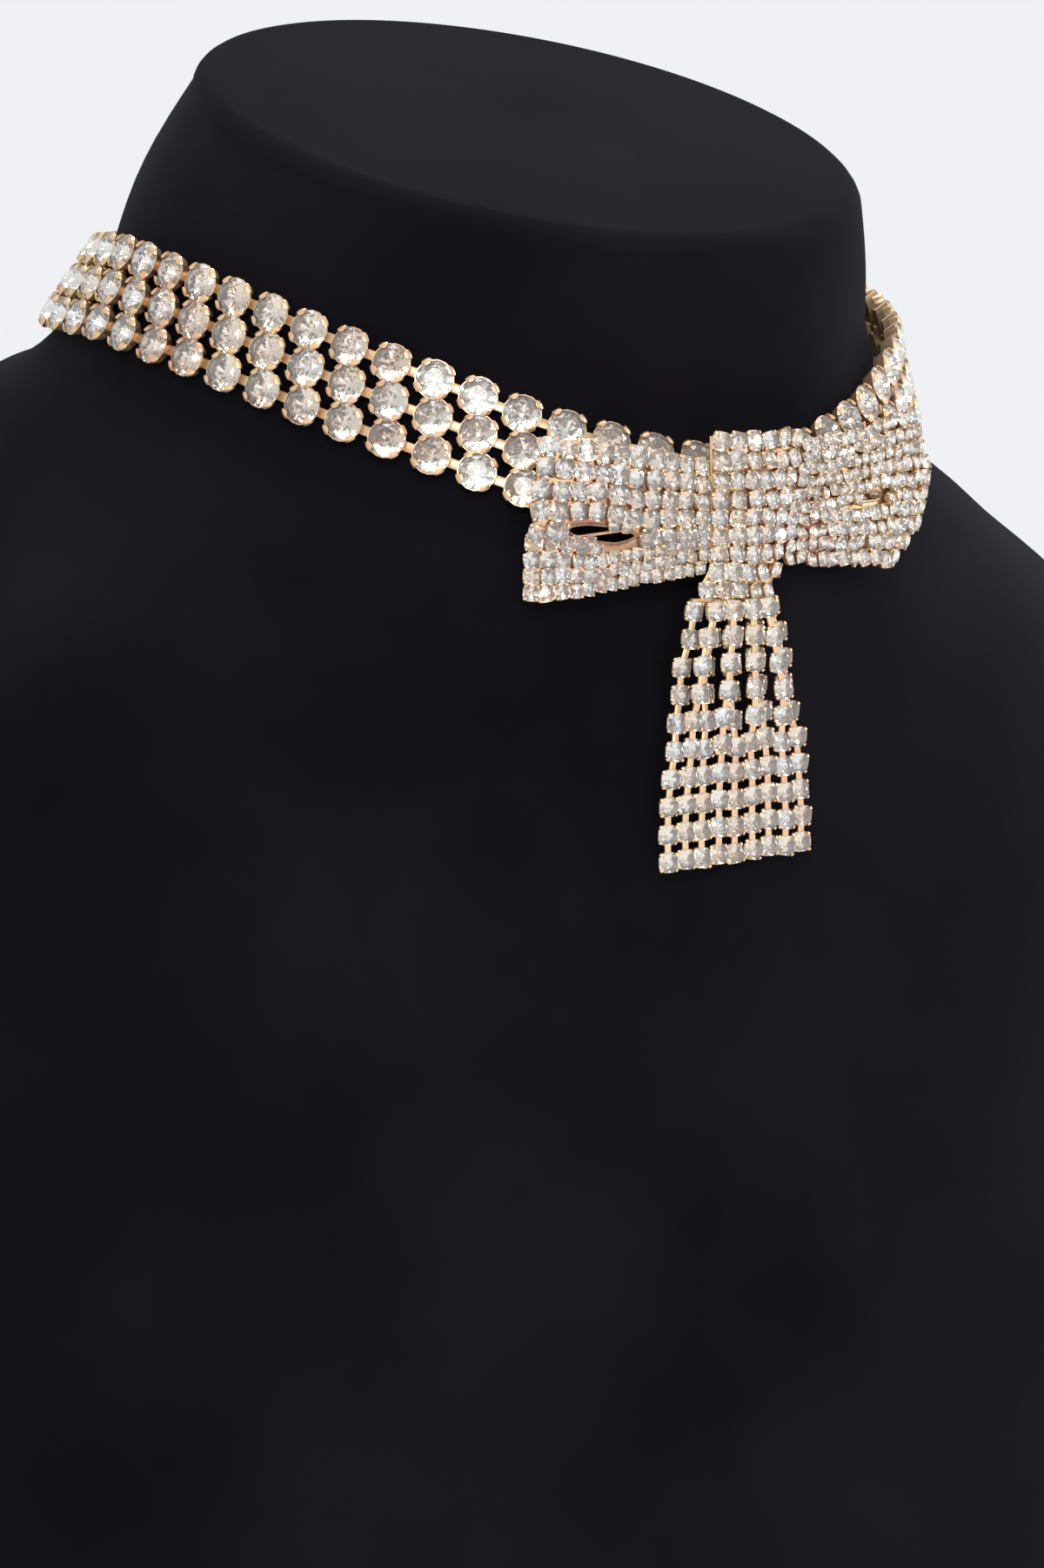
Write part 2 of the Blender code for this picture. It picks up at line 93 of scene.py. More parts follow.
def selectOnly(piece):
    bpy.ops.object.select_all(action="DESELECT")
    piece.select_set(True)
    bpy.context.view_layer.objects.active = piece


def applyModifier(piece, kind, **settings):
    modifier = piece.modifiers.new(kind.lower(), kind)
    for key, value in settings.items():
        setattr(modifier, key, value)
    selectOnly(piece)
    bpy.ops.object.modifier_apply(modifier=modifier.name)


def shadeRound(piece, degrees):
    selectOnly(piece)
    bpy.ops.object.shade_smooth_by_angle(angle=math.radians(degrees))
    piece.select_set(False)


def frameMatrix(place, along, out, size=1.0, tilt=None):
    up = out.cross(along).normalized()
    along = up.cross(out).normalized()
    turned = Matrix((along, up, out)).transposed()
    if tilt:
        turned = turned @ tilt.to_matrix()
    return Matrix.Translation(place) @ turned.to_4x4() @ Matrix.Scale(size, 4)


def copies(name, model, matrices, tones=None):  # every copy with its own mesh, in one piece
    source = model.data
    points = np.array([[*vertex.co, 1.0] for vertex in source.vertices])
    faces = [list(face.vertices) for face in source.polygons]
    slots = [face.material_index for face in source.polygons]
    places = np.concatenate([points @ np.array(matrix).T for matrix in matrices])[:, :3]
    count = len(points)
    allFaces = [[v + i * count for v in face] for i in range(len(matrices)) for face in faces]
    mesh = bpy.data.meshes.new(name)
    mesh.from_pydata(places.tolist(), [], allFaces)
    mesh.polygons.foreach_set("material_index", slots * len(matrices))
    for made in source.materials:
        mesh.materials.append(made)
    tone = mesh.attributes.new("stoneTone", "FLOAT", "POINT")
    values = tones if tones else [0.5] * len(matrices)
    tone.data.foreach_set("value", np.repeat(np.array(values, float), count))
    return addObject(name, mesh)


def joinPieces(name, pieces):
    bpy.ops.object.select_all(action="DESELECT")
    for piece in pieces:
        piece.select_set(True)
    bpy.context.view_layer.objects.active = pieces[0]
    bpy.ops.object.join()
    pieces[0].name = pieces[0].data.name = name
    return pieces[0]


def editFaces(piece, isWanted):  # opens the mesh with just these faces selected
    setMode("EDIT")
    bpy.ops.mesh.select_mode(type="FACE")
    bpy.ops.mesh.select_all(action="DESELECT")
    setMode("OBJECT")
    for face in piece.data.polygons:
        face.select = isWanted(face)
    setMode("EDIT")


def removeModels(*models):
    for model in models:
        bpy.data.objects.remove(model)


def wrappedGrid(name, columns, rows, place, isOpen=None):  # flat grid laid onto a shape
    bpy.ops.mesh.primitive_grid_add(x_subdivisions=columns, y_subdivisions=rows, size=1)
    piece = nameNew(name)
    if isOpen:
        editFaces(piece, lambda f: isOpen((f.center.x + 0.5) * columns, (0.5 - f.center.y) * rows))
        bpy.ops.mesh.delete(type="FACE")
        setMode("OBJECT")
    for vertex in piece.data.vertices:
        i, j = (vertex.co.x + 0.5) * columns, (0.5 - vertex.co.y) * rows
        vertex.co = place(i, j)
    return piece


def wire(name, points, radius, made):  # round wire through the points
    curve = bpy.data.curves.new(name, "CURVE")
    curve.dimensions = "3D"
    curve.bevel_depth = radius
    curve.bevel_resolution = 2
    curve.use_fill_caps = True
    spline = curve.splines.new("POLY")
    spline.points.add(len(points) - 1)
    for target, point in zip(spline.points, points):
        target.co = (*point, 1.0)
    selectOnly(addObject(name, curve))
    bpy.ops.object.convert(target="MESH")
    piece = bpy.context.object
    piece.data.materials.clear()
    piece.data.materials.append(made)
    return piece


def dress(piece, slot, *nodes):
    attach(piece, "root")
    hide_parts(*nodes)
    piece.select_set(False)


def finishField(name, metalParts, stoneModel, stones, tones, node):
    metal = joinPieces(name + "_settings", metalParts)
    shadeRound(metal, metalAngle)
    field = copies(name + "_stones", stoneModel, stones, tones)
    dress(metal, "rose_gold", node)
    dress(field, "crystal_stones", node)
    print(name + ":", len(stones), "stones")


# Materials

def newMaterial(name, values):
    made = bpy.data.materials.new(name)
    made.use_nodes = True
    shader = made.node_tree.nodes["Principled BSDF"]
    for key, value in values.items():
        shader.inputs[key].default_value = value
    return made, made.node_tree, shader


def addNode(tree, kind, **values):
    node = tree.nodes.new(kind)
    for key, value in values.items():
        node.inputs[key].default_value = value
    return node


def addNoise(tree, scale, detail):
    noise = addNode(tree, "ShaderNodeTexNoise", Scale=scale, Detail=detail)
    place = tree.nodes.new("ShaderNodeTexCoord")
    tree.links.new(place.outputs["Object"], noise.inputs["Vector"])
    return noise


def stoneTone(tree):  # each stone has a tone of its own
    tone = tree.nodes.new("ShaderNodeAttribute")
    tone.attribute_name = "stoneTone"
    return tone


def addColour(tree, shader, source, stops):
    node = tree.nodes.new("ShaderNodeValToRGB")
    ramp = node.color_ramp
    while len(ramp.elements) < len(stops):
        ramp.elements.new(0.5)
    for element, (position, colour) in zip(ramp.elements, stops):
        element.position = position
        element.color = (*colour, 1.0)
    tree.links.new(source.outputs["Fac"], node.inputs["Fac"])
    tree.links.new(node.outputs["Color"], shader.inputs["Base Color"])


def addRoughness(tree, shader, source, smoothest, roughest):
    rough = tree.nodes.new("ShaderNodeMapRange")
    rough.inputs["To Min"].default_value = smoothest
    rough.inputs["To Max"].default_value = roughest
    tree.links.new(source.outputs["Fac"], rough.inputs["Value"])
    tree.links.new(rough.outputs["Result"], shader.inputs["Roughness"])


def addBump(tree, shader, source, strength, distance):
    bump = addNode(tree, "ShaderNodeBump", Strength=strength, Distance=distance)
    tree.links.new(source.outputs["Fac"], bump.inputs["Height"])
    tree.links.new(bump.outputs["Normal"], shader.inputs["Normal"])


def crystalMaterial():  # the stone's crown, glass with a little haze
    values = {"Roughness": 0.02, "IOR": 1.58, "Transmission Weight": 0.87}
    made, tree, shader = newMaterial("crystalCrown", values)
    stops = (0.0, (0.93, 0.93, 0.92)), (0.5, (0.94, 0.91, 0.88)), (1.0, (0.94, 0.88, 0.83))
    addColour(tree, shader, stoneTone(tree), stops)
    return made


def foilMaterial():  # silver foil behind the stone, with a warm cast from the cup
    made, tree, shader = newMaterial("stoneFoil", {"Metallic": 1.0})
    stops = (0.0, (0.83, 0.84, 0.82)), (0.45, (0.85, 0.82, 0.76)), (1.0, (0.85, 0.78, 0.68))
    addColour(tree, shader, stoneTone(tree), stops)
    addRoughness(tree, shader, addNoise(tree, 900.0, 2.0), 0.02, 0.09)
    return made


def goldMaterial(name, colours):  # plating that runs from yellow to rose
    made, tree, shader = newMaterial(name, {"Metallic": 0.75})
    stops = tuple(zip((0.35, 0.5, 0.65), colours))
    addColour(tree, shader, addNoise(tree, 70.0, 3.0), stops)
    grain = addNoise(tree, 2600.0, 2.0)
    addRoughness(tree, shader, grain, 0.2, 0.42)
    addBump(tree, shader, grain, 0.25, 0.04 * mm)
    return made


def velvetMaterial():  # short black pile, brushed a little unevenly
    values = {
        "Roughness": 0.95,
        "Specular IOR Level": 0.03,
        "Sheen Weight": 0.02,
        "Sheen Roughness": 0.45,
        "Sheen Tint": (0.75, 0.78, 1.0, 1.0),
    }
    made, tree, shader = newMaterial("blackVelvetPile", values)
    stops = (0.3, (0.0030, 0.0027, 0.0040)), (0.7, (0.0062, 0.0056, 0.0078))
    addColour(tree, shader, addNoise(tree, 26.0, 3.0), stops)
    addBump(tree, shader, addNoise(tree, 4200.0, 2.0), 0.5, 0.2 * mm)
    return made


crystal = crystalMaterial()
foil = foilMaterial()
plateColours = ((0.74, 0.54, 0.29), (0.74, 0.49, 0.29), (0.71, 0.42, 0.27))
shadedColours = ((0.42, 0.29, 0.16), (0.40, 0.25, 0.15), (0.36, 0.20, 0.13))
gold = goldMaterial("roseGoldPlate", plateColours)
shadedGold = goldMaterial("shadedGold", shadedColours)  # between the bow's crowded stones
velvet = velvetMaterial()
print("materials made")


# The choker's loop, the same curve as in the CAD part

bustShift = -13.22 * mm  # the part stands with the bust's middle on the origin
loop = {
    "radius": 56.0 * mm,
    "setBack": 10.5 * mm,
    "height": 200.5 * mm,
    "rise": 26.5 * mm,
    "steps": 1440,
    # turn from the front, reach left and right, rise left and right, flare in degrees
    "table": (
        (0, 1.018, 1.018, 0.000, 0.000, 31),
        (24, 0.989, 0.992, 0.162, 0.162, 24),
        (44, 0.963, 0.988, 0.419, 0.400, 15),
        (66, 0.966, 1.006, 0.694, 0.570, 11),
        (79, 0.982, 1.012, 0.845, 0.660, 13),
        (90, 0.995, 1.013, 0.936, 0.730, 17),
        (101, 1.005, 1.013, 1.000, 0.790, 22),
        (122, 1.016, 1.016, 0.980, 0.860, 33),
        (150, 1.005, 1.005, 0.943, 0.910, 36),
        (180, 0.989, 0.989, 0.925, 0.925, 36),
    ),
}


def loopSurface(turn, across, snug=False):
    degrees = abs(math.degrees(turn))
    left = turn < 0
    flare = math.radians(smoothValue(loop["table"], 5, degrees))
    radius = loop["radius"] * smoothValue(loop["table"], 1 if left or snug else 2, degrees)
    radius += across * math.sin(flare)
    rise = smoothValue(loop["table"], 3 if left else 4, degrees)
    height = loop["height"] + loop["rise"] * rise - across * math.cos(flare)
    y = loop["setBack"] - radius * math.cos(turn) + bustShift
    return Vector((radius * math.sin(turn), y, height))


def loopFrame(turn, across, snug=False):
    place = loopSurface(turn, across, snug)
    step = 0.001
    along = loopSurface(turn + step, across, snug) - loopSurface(turn - step, across, snug)
    down = loopSurface(turn, across + mm, snug) - place
    return place, along.normalized(), down.cross(along).normalized()


def loopPoint(turn, across, outward, snug=False):
    place, _, out = loopFrame(turn, across, snug)
    return place + out * outward


def measureLoop():
    turns = [math.pi * (2 * i / loop["steps"] - 1) for i in range(loop["steps"] + 1)]
    points = [loopSurface(turn, 0) for turn in turns]
    lengths = [0.0]
    for before, after in zip(points, points[1:]):
        lengths.append(lengths[-1] + (after - before).length)
    return turns, lengths


loopTurns, loopLengths = measureLoop()


def turnAt(length):
    whole = loopLengths[-1]
    return float(np.interp((length + whole / 2) % whole, loopLengths, loopTurns))


# Stones and their settings, each modelled once

bigStone = {
    "squared": 0.0,
    "girdleSides": 16,
    "girdle": 0.05,
    "middle": (0.80, 0.176),
    "table": (0.54, 0.297),
    "belly": (0.58, -0.36),
    "culet": (0.12, -0.69),
}
smallStone = {
    "squared": 0.25,
    "girdleSides": 8,
    "girdle": 0.06,
    "middle": (0.80, 0.18),
    "table": (0.5, 0.30),
    "belly": (0.56, -0.36),
    "culet": (0.10, -0.68),
}
bigSetting = {
    "squared": 0.0,
    "sides": 16,
    "base": (1.75 * mm, -1.9 * mm),
    "rim": (2.64 * mm, -0.12 * mm),
    "wall": 0.2 * mm,
    "hollow": 0.95,
    # radius, height, width and thickness at each step of a prong, from its foot to its tip
    "prong": (
        (2.32 * mm, -1.10 * mm, 1.20 * mm, 0.36 * mm),
        (2.60 * mm, -0.30 * mm, 1.50 * mm, 0.40 * mm),
        (2.70 * mm, 0.14 * mm, 1.46 * mm, 0.42 * mm),
        (2.50 * mm, 0.46 * mm, 1.24 * mm, 0.38 * mm),
        (2.18 * mm, 0.58 * mm, 0.80 * mm, 0.26 * mm),
    ),
}
smallSetting = {
    "squared": 0.25,
    "sides": 8,
    "base": (0.86 * mm, -0.95 * mm),
    "rim": (1.20 * mm, -0.1 * mm),
    "wall": 0.08 * mm,
    "hollow": 0.92,
    "prong": (
        (1.24 * mm, -0.50 * mm, 0.40 * mm, 0.16 * mm),
        (1.36 * mm, 0.04 * mm, 0.42 * mm, 0.16 * mm),
        (1.18 * mm, 0.22 * mm, 0.26 * mm, 0.10 * mm),
    ),
}


def squareUp(piece, amount):  # pulls a round outline out towards its four corners
    for vertex in piece.data.vertices:
        x, y = vertex.co.x, vertex.co.y
        radius = max(math.hypot(x, y), 0.01 * mm)
        vertex.co.x = x * (1 + amount * (y / radius) ** 2)
        vertex.co.y = y * (1 + amount * (x / radius) ** 2)


def cutStone(name, cut):
    sides = cut["girdleSides"]
    halfStep = math.radians(22.5)  # half the turn from one of the eight facets to the next
    start = halfStep if sides == 8 else 0.0
    rings = [(sides, 1.0, 0.0, start), (sides, 1.0, -cut["girdle"], start)]
    rings.append((8, *cut["table"], start))
    rings.append((8, *cut["culet"], start))
    rings.append((8, *cut["middle"], start + halfStep))
    rings.append((8, *cut["belly"], start + halfStep))
    bpy.ops.mesh.primitive_circle_add(vertices=sides, radius=1.0, rotation=(0, 0, start))
    stone = nameNew(name)
    bpy.ops.object.transform_apply()
    setMode("EDIT")
    for count, radius, height, turn in rings[1:]:
        bpy.ops.mesh.primitive_circle_add(
            vertices=count, radius=radius, location=(0, 0, height), rotation=(0, 0, turn)
        )
    setMode("OBJECT")
    squareUp(stone, cut["squared"])
    setMode("EDIT")
    bpy.ops.mesh.select_all(action="SELECT")
    bpy.ops.mesh.convex_hull(join_triangles=False)
    bpy.ops.mesh.select_all(action="SELECT")
    bpy.ops.mesh.dissolve_limited(angle_limit=math.radians(1.5))
    bpy.ops.mesh.normals_make_consistent()
    setMode("OBJECT")
    stone.data.materials.append(crystal)
    stone.data.materials.append(foil)
    for face in stone.data.polygons:  # foil on the facets that look down
        face.use_smooth = False
        face.material_index = 1 if face.normal.z < -0.1 else 0
    return stone


def bentProng(name, steps):
    radius, height, width, thick = steps[0]
    bpy.ops.mesh.primitive_circle_add(
        vertices=8, radius=0.5, fill_type="NGON", location=(radius, 0, height)
    )
    prong = nameNew(name)
    setMode("EDIT")
    bpy.ops.transform.resize(value=(thick, width, 1), center_override=(radius, 0, height))
    for before, after in zip(steps, steps[1:]):
        move = (after[0] - before[0], 0, after[1] - before[1])
        bpy.ops.mesh.extrude_region_move(TRANSFORM_OT_translate={"value": move})
        scale = (after[3] / before[3], after[2] / before[2], 1)
        bpy.ops.transform.resize(value=scale, center_override=(after[0], 0, after[1]))
    bpy.ops.mesh.select_all(action="SELECT")
    bpy.ops.mesh.normals_make_consistent()
    setMode("OBJECT")
    bpy.ops.object.transform_apply()
    return prong


def cupSetting(name, look):
    radius, low = look["base"]
    rim, high = look["rim"]
    bpy.ops.mesh.primitive_cone_add(
        vertices=look["sides"], radius1=radius, radius2=rim, depth=high - low,
        location=(0, 0, (low + high) / 2), rotation=(0, 0, math.pi / look["sides"]),
    )
    cup = bpy.context.object
    bpy.ops.object.transform_apply()
    squareUp(cup, look["squared"])
    editFaces(cup, lambda face: face.normal.z > 0.9)
    bpy.ops.mesh.inset(thickness=look["wall"])
    hollow = (low - high) * look["hollow"]
    bpy.ops.mesh.extrude_region_move(TRANSFORM_OT_translate={"value": (0, 0, hollow)})
    shrink = 1 - (1 - radius / rim) * look["hollow"]
    bpy.ops.transform.resize(value=(shrink, shrink, 1), center_override=(0, 0, high + hollow))
    setMode("OBJECT")
    prong = bentProng(name + "Prong", look["prong"])
    turns = [Matrix.Rotation(math.radians(45 + 90 * corner), 4, "Z") for corner in range(4)]
    prongs = copies(name + "Prongs", prong, turns)
    removeModels(prong)
    setting = joinPieces(name, [cup, prongs])
    setting.data.materials.clear()
    setting.data.materials.append(gold)
    for face in setting.data.polygons:
        face.material_index = 0
    return setting


def roundedBar(name, length, width, thick, bevel):
    bpy.ops.mesh.primitive_cube_add(size=1)
    bar = nameNew(name)
    bar.scale = (length, width, thick)
    bpy.ops.object.transform_apply()
    setMode("EDIT")
    bpy.ops.mesh.select_all(action="SELECT")
    bpy.ops.mesh.bevel(offset=bevel, segments=2, affect="EDGES")
    setMode("OBJECT")
    bar.data.materials.append(gold)
    return bar


def stretched(matrix, length):  # copy of a matrix with its own scale along the first axis
    return matrix @ Matrix.Diagonal((length, 1, 1, 1))


bigStoneModel = cutStone("bigStoneModel", bigStone)
smallStoneModel = cutStone("smallStoneModel", smallStone)
bigSettingModel = cupSetting("bigSettingModel", bigSetting)
smallSettingModel = cupSetting("smallSettingModel", smallSetting)
print("stones and settings modelled")


# Band of three soldered rows

band = {
    "rows": 3,
    "columns": 54,
    "rowPitch": 5.05 * mm,
    "stonePitch": 6.2 * mm,
    "shift": 1.5 * mm,
    "stoneRadius": 2.52 * mm,
    "tiltDegrees": 4.0,
    "linkLevel": -1.25 * mm,
    "linkLength": 2.7 * mm,
    "linkWidth": 1.35 * mm,
    "linkThick": 0.5 * mm,
    "linkBevel": 0.14 * mm,
    "solderLevel": -1.0 * mm,
    "solderRadius": 0.75 * mm,
    "barOffset": 4.3 * mm,
    "barLevel": -1.1 * mm,
    "barPastRows": 4.4 * mm,
    "barWidth": 1.9 * mm,
    "barThick": 1.3 * mm,
    "barBevel": 0.3 * mm,
    "footShare": 0.6,
    "footLength": 3.0 * mm,
    "spin": 0.4,
}


def columnLength(column):
    return band["shift"] + (column - (band["columns"] - 1) / 2) * band["stonePitch"]


def makeBand():
    stones, settings, links, solder, tones = [], [], [], [], []
    for column in range(band["columns"]):
        for row in range(band["rows"]):
            across = row * band["rowPitch"]
            turn = turnAt(columnLength(column))
            place, along, out = loopFrame(turn, across)
            lean = math.radians(band["tiltDegrees"])
            tilt = Euler((randomTilt.uniform(-lean, lean), randomTilt.uniform(-lean, lean), 0))
            settings.append(frameMatrix(place, along, out, 1.0, tilt))
            spin = Euler((tilt.x, tilt.y, randomTilt.uniform(-band["spin"], band["spin"])))
            stones.append(frameMatrix(place, along, out, band["stoneRadius"], spin))
            tones.append(randomTilt.random())
            if column < band["columns"] - 1:
                middle = columnLength(column) + band["stonePitch"] / 2
                place, along, out = loopFrame(turnAt(middle), across)
                ends = [loopPoint(turnAt(columnLength(column + k)), across, 0) for k in (0, 1)]
                reach = (ends[1] - ends[0]).length - band["stonePitch"] + band["linkLength"]
                place = place + out * band["linkLevel"]
                links.append(stretched(frameMatrix(place, along, out), reach))
            if row < band["rows"] - 1:
                place, along, out = loopFrame(turn, across + band["rowPitch"] / 2)
                solder.append(frameMatrix(place + out * band["solderLevel"], along, out))
    bars, feet = [], []
    for column, side in ((0, -1), (band["columns"] - 1, 1)):
        length = columnLength(column) + side * band["barOffset"]
        middle = (band["rows"] - 1) / 2 * band["rowPitch"]
        place, along, out = loopFrame(turnAt(length), middle)
        bars.append(frameMatrix(place + out * band["barLevel"], along, out))
        for row in range(band["rows"]):
            length = columnLength(column) + side * band["barOffset"] * band["footShare"]
            place, along, out = loopFrame(turnAt(length), row * band["rowPitch"])
            foot = frameMatrix(place + out * band["linkLevel"], along, out)
            feet.append(stretched(foot, band["footLength"]))
    link = roundedBar("linkModel", 1.0, band["linkWidth"], band["linkThick"], band["linkBevel"])
    barHeight = (band["rows"] - 1) * band["rowPitch"] + band["barPastRows"]
    bar = roundedBar("barModel", band["barWidth"], barHeight, band["barThick"], band["barBevel"])
    bpy.ops.mesh.primitive_ico_sphere_add(subdivisions=1, radius=band["solderRadius"])
    blob = bpy.context.object
    blob.data.materials.append(gold)
    metal = [
        copies("bandCups", bigSettingModel, settings),
        copies("bandLinks", link, links + feet),
        copies("bandBars", bar, bars),
        copies("bandSolder", blob, solder),
    ]
    removeModels(link, bar, blob)
    finishField("band", metal, bigStoneModel, stones, tones, "choker_band")


makeBand()


# Clasp, one plain plate behind the neck

clasp = {
    "height": 10.6 * mm,
    "thick": 2.4 * mm,
    "back": -1.85 * mm,
    "gap": 0.4 * mm,
    "bevel": 0.5 * mm,
    "grid": (12, 4),
    "shadeAngle": 40,
}


def makeClasp():
    reach = band["barOffset"] + band["barWidth"] / 2 + clasp["gap"]
    start = columnLength(band["columns"] - 1) + reach
    end = columnLength(0) - reach + loopLengths[-1]
    middle = (band["rows"] - 1) * band["rowPitch"] / 2
    columns, rows = clasp["grid"]

    def place(i, j):
        length = start + (end - start) * i / columns
        across = middle + (j / rows - 0.5) * clasp["height"]
        return loopPoint(turnAt(length), across, clasp["back"] + clasp["thick"])

    plate = wrappedGrid("clasp_plate", columns, rows, place)
    applyModifier(plate, "SOLIDIFY", thickness=clasp["thick"], offset=-1.0)
    applyModifier(plate, "BEVEL", width=clasp["bevel"], segments=3, limit_method="ANGLE")
    plate.data.materials.append(gold)
    shadeRound(plate, clasp["shadeAngle"])
    dress(plate, "rose_gold", "choker_clasp")
    print("clasp plate made")


makeClasp()


# Bow: two loops, a knot with its tail, all fields of small stones on a thin plate

bow = {
    "radius": 78.0 * mm,
    "front": 54.5 * mm,
    "topOverFront": 4.5 * mm,
    "slope": 6.0,
    "shift": -3.9 * mm,
    "reach": 34.0 * mm,
    "height": 21.0 * mm,
    "gap": 0.3 * mm,
    "girdleLevel": -0.36 * mm,
    "stoneRadius": 1.15 * mm,
    "stonePitch": 2.3 * mm,
    "plateInset": 0.7 * mm,
    "slitMargin": 0.6 * mm,
    "plateFront": -1.32 * mm,
    "plateThick": 0.3 * mm,
    "plateBevel": 0.08 * mm,
    "plateWidth": 24.0 * mm,
    "grid": (24, 14),
    "slitRows": (7, 8),
    "rimRadius": 0.2 * mm,
    "wireRaise": 0.1 * mm,
    "wireSteps": 8,
    "slitSteps": 24,
    "slitSharpness": 6,
    "slitEnds": 0.02,
    "largest": 1.12,
    "tiltDegrees": 13.0,
    "looseness": 0.14 * mm,
    "sizeSpread": 0.09,
    "crowding": 1.06,
}
leftLoop = {
    "side": -1,
    "edge": ((0.0, 0.91), (0.36, 0.955), (0.57, 0.975), (1.0, 1.0)),  # level, reach
    # share out from the knot, then the levels of the top, the slit's two edges and the bottom
    "sections": (
        (0.0, 0.17, 0.6, 0.65, 0.86),
        (0.2, 0.13, 0.595, 0.65, 0.885),
        (0.4, 0.09, 0.59, 0.65, 0.915),
        (0.52, 0.07, 0.56, 0.665, 0.94),
        (0.66, 0.04, 0.54, 0.645, 0.97),
        (0.79, 0.02, 0.54, 0.6, 0.982),
        (0.9, 0.006, 0.54, 0.59, 0.994),
        (1.0, 0.0, 0.54, 0.59, 1.0),
    ),
    "slit": (0.4, 0.79),
    "crossWire": ((0.79, 0.625), (0.42, 0.575)),
    "slitStones": ((0.73, 0.65), (0.665, 0.658), (0.54, 0.548), (0.475, 0.556)),
    # count of rows, rows in the arm's height, and how far the first one lies inside its edge
    "upperRows": (5, 4.1, 0.42),
    "lowerRows": (4, 3.9, 0.4),
    "smallest": 0.72,
    "disorder": 1.2,
}
rightLoop = {
    "side": 1,
    "edge": ((-0.07, 0.88), (0.1, 0.925), (0.23, 0.97), (0.44, 0.955), (0.66, 0.88), (0.9, 0.68)),
    "sections": (
        (0.0, 0.06, 0.44, 0.5, 0.83),
        (0.2, 0.055, 0.44, 0.5, 0.845),
        (0.45, 0.021, 0.435, 0.495, 0.867),
        (0.64, -0.016, 0.435, 0.49, 0.88),
        (0.78, -0.043, 0.44, 0.49, 0.889),
        (0.9, -0.063, 0.44, 0.49, 0.897),
        (1.0, -0.07, 0.44, 0.49, 0.9),
    ),
    "slit": (0.45, 0.64),
    "upperRows": (6, 5.1, 0.45),
    "lowerRows": (4, 4.1, 0.4),
    "smallest": 0.72,
    "disorder": 1.7,
}
knot = {
    # drop, left edge and right edge
    "table": (
        (0.0, -0.215, 0.215),
        (0.17, -0.22, 0.195),
        (0.34, -0.225, 0.16),
        (0.56, -0.235, 0.105),
        (0.78, -0.245, 0.085),
        (0.86, -0.265, 0.07),
        (1.0, -0.325, 0.015),
    ),
    "proud": 0.9 * mm,
    "tailSlant": 0.9 * mm,
    "rows": 9,
    "firstLevel": 0.053,
    "rowsReach": 0.907,
    "closing": 0.12,  # how much closer the lower rows sit
    "tailLevel": 0.8,
    "tailRow": 6,
    "topSize": 1.03,
    "tailSize": 0.93,
    "disorder": 1.3,
    "crowding": 1.06,
    "stonePitch": 2.36 * mm,
    "grid": (14, 24),
    "plateShare": (0.04, 0.92),
    "carrier": (0.42, 0.58, 0.04, 0.72),  # shares left and right, levels up and down
    "carrierBevel": 0.3 * mm,
    "edgeLevels": (0.02, 0.78),
    "edgeOutward": -0.75 * mm,
    "edgeSteps": 30,
    "bandFront": 0.95 * mm,
    "searchRounds": 12,
}


def bowPoint(reach, drop, outward=0.0):
    turn = (reach + bow["shift"]) / bow["radius"]
    radius = bow["radius"] + drop * math.tan(math.radians(bow["slope"])) + outward
    centre = bow["radius"] - bow["front"] + bustShift
    height = loop["height"] + bow["topOverFront"] - drop
    return Vector((radius * math.sin(turn), centre - radius * math.cos(turn), height))


def knotEdge(side, drop):
    column = 1 if side < 0 else 2
    return bow["reach"] * straightValue(knot["table"], column, drop / bow["height"])


def armPlace(look, share, level):  # share of the way out from the knot, level down the bow
    drop = bow["height"] * level
    inner = knotEdge(look["side"], drop) + look["side"] * bow["gap"]
    outer = look["side"] * bow["reach"] * straightValue(look["edge"], 1, level)
    return inner + (outer - inner) * share, drop


def armPoint(look, share, level, outward=0.0):
    return bowPoint(*armPlace(look, share, level), outward)


def armFrame(look, share, level, outward):
    step = 0.02
    place = armPoint(look, share, level, outward)
    along = armPoint(look, share + step, level) - armPoint(look, share - step, level)
    out = armPoint(look, share, level, mm) - armPoint(look, share, level)
    down = armPoint(look, share, level + step) - armPoint(look, share, level - step)
    along = along.normalized() * look["side"]
    out = (out - down.normalized() * out.dot(down.normalized())).normalized()
    return place, along, out


def stoneRow(look, levelAt, sizeAt):  # shares where the stones of one row sit
    steps = 240
    shares = [i / steps for i in range(steps + 1)]
    points = [armPoint(look, share, levelAt(share)) for share in shares]
    lengths = [0.0]
    for share, before, after in zip(shares, points, points[1:]):
        lengths.append(lengths[-1] + (after - before).length / sizeAt(share))
    count = round(lengths[-1] / bow["stonePitch"])
    stops = [(k + 0.5) * lengths[-1] / count for k in range(count)]
    return [float(np.interp(stop, lengths, shares)) for stop in stops]


def looseTilt(degrees):
    lean = math.radians(degrees)
    return Euler([randomTilt.uniform(-lean, lean) for _ in range(3)])


def slitEdges(look, share):  # the slit narrows to a point at both ends
    start, end = look["slit"]
    t = min(max((share - start) / (end - start), 0.0), 1.0)
    opening = max(0.1, 1 - (2 * t - 1) ** bow["slitSharpness"])
    slitTop, slitLow = [straightValue(look["sections"], k, share) for k in (2, 3)]
    middle, half = (slitTop + slitLow) / 2, (slitLow - slitTop) / 2 * opening
    return middle - half, middle + half


